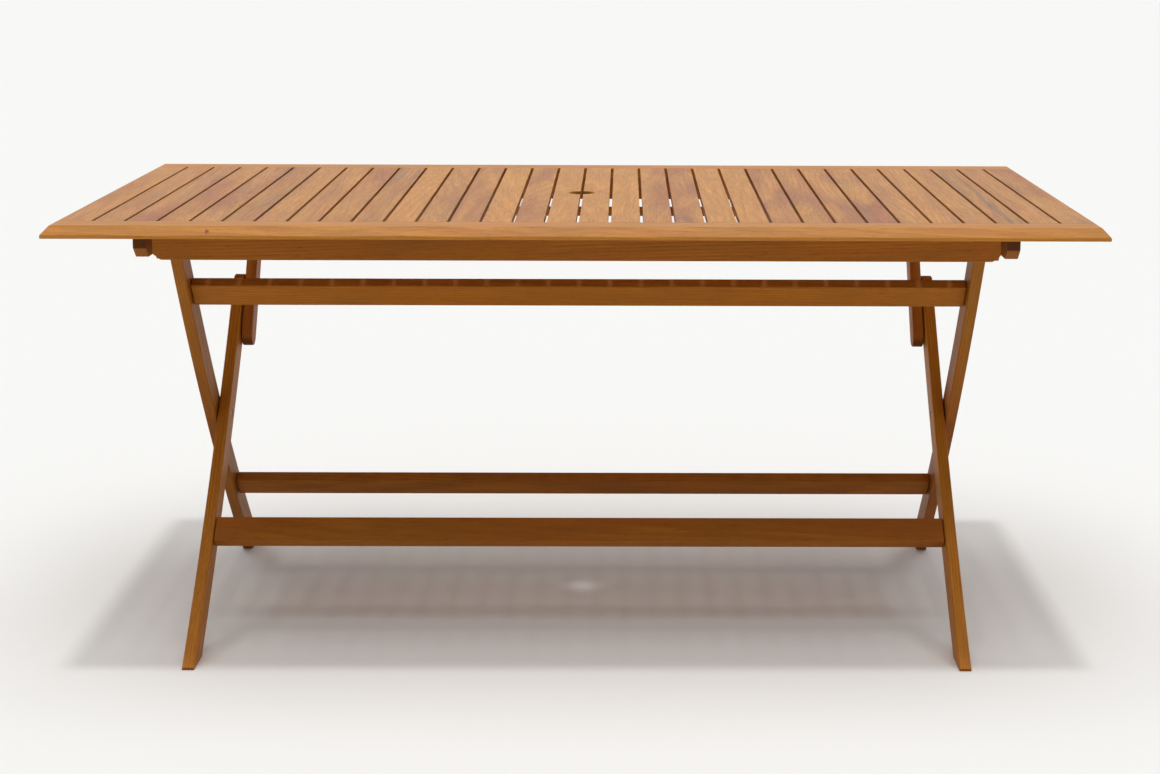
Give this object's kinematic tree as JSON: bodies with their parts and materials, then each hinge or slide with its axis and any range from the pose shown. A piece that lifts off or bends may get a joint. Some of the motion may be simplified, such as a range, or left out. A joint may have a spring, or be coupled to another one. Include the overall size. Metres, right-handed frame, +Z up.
{
  "type": "folding picnic table",
  "caption": "Slatted hardwood table with a parasol hole, on crossed sabre legs that swing up under the top to fold.",
  "frame": {"origin": "on the floor under the centre of the top", "axes": "+Z up; +X along the table to its right end; -Y towards the front edge, above the inner legs' feet"},
  "size_m": [1.7, 0.9, 0.745],
  "materials": {
    "slats": "oiled, satin, each slat its own tone",
    "rails": "oiled, satin, golden",
    "under_frame": "oiled, satin, darker",
    "legs": "oiled, satin",
    "bolts": "zinc-plated, dull"
  },
  "bodies": {
    "top": {"front_rail": "rails", "back_rail": "rails", "left_end_rail": "slats", "right_end_rail": "slats", "slat_01": "slats", "slat_02": "slats", "slat_03": "slats", "slat_04": "slats", "slat_05": "slats", "slat_06": "slats", "slat_07": "slats", "slat_08": "slats", "slat_09": "slats", "slat_10": "slats", "slat_11": "slats", "slat_12": "slats", "slat_13": "slats", "slat_14": "slats", "slat_15": "slats", "slat_16": "slats", "slat_17": "slats", "slat_18": "slats", "slat_19": "slats", "slat_20": "slats", "slat_21": "slats", "slat_22": "slats", "slat_23": "slats", "slat_24": "slats", "slat_25": "slats", "slat_26": "slats", "slat_27": "slats", "slat_28": "slats", "slat_29": "slats", "slat_30": "slats", "front_apron": "under_frame", "back_apron": "under_frame", "left_cross_rail": "under_frame", "right_cross_rail": "under_frame", "left_leg_block": "under_frame", "right_leg_block": "under_frame", "left_strut_block": "under_frame", "right_strut_block": "under_frame", "left_leg_bolt": "bolts", "right_leg_bolt": "bolts"},
    "outer_frame": {"left_outer_leg": "legs", "right_outer_leg": "legs", "outer_upper_stretcher": "under_frame", "outer_lower_stretcher": "under_frame", "left_crossing_bolt": "bolts", "right_crossing_bolt": "bolts"},
    "inner_frame": {"left_inner_leg": "legs", "right_inner_leg": "legs", "inner_lower_stretcher": "under_frame", "left_strut_bolt": "bolts", "right_strut_bolt": "bolts"},
    "strut_frame": {"left_strut": "legs", "right_strut": "legs", "strut_pivot_bar": "under_frame", "left_strut_nut": "bolts", "right_strut_nut": "bolts"}
  },
  "joints": [
    {"name": "leg_fold", "type": "hinge", "parent": "top", "child": "outer_frame", "pos_m": [0, -0.2958, 0.698], "axis": [1, 0, 0], "range_deg": [0, 41]},
    {"name": "leg_crossing", "type": "hinge", "parent": "outer_frame", "child": "inner_frame", "pos_m": [0, -0.01469, 0.34361], "axis": [1, 0, 0], "range_deg": [-85.75, 0]},
    {"name": "strut_swing", "type": "hinge", "parent": "top", "child": "strut_frame", "pos_m": [0, 0.239, 0.679], "axis": [1, 0, 0], "range_deg": [0, 104.9]}
  ],
  "couplings": [
    {"joint": "leg_crossing", "follows": "leg_fold", "ratio": -2.0907},
    {"joint": "strut_swing", "follows": "leg_fold", "ratio": 2.5568}
  ]
}
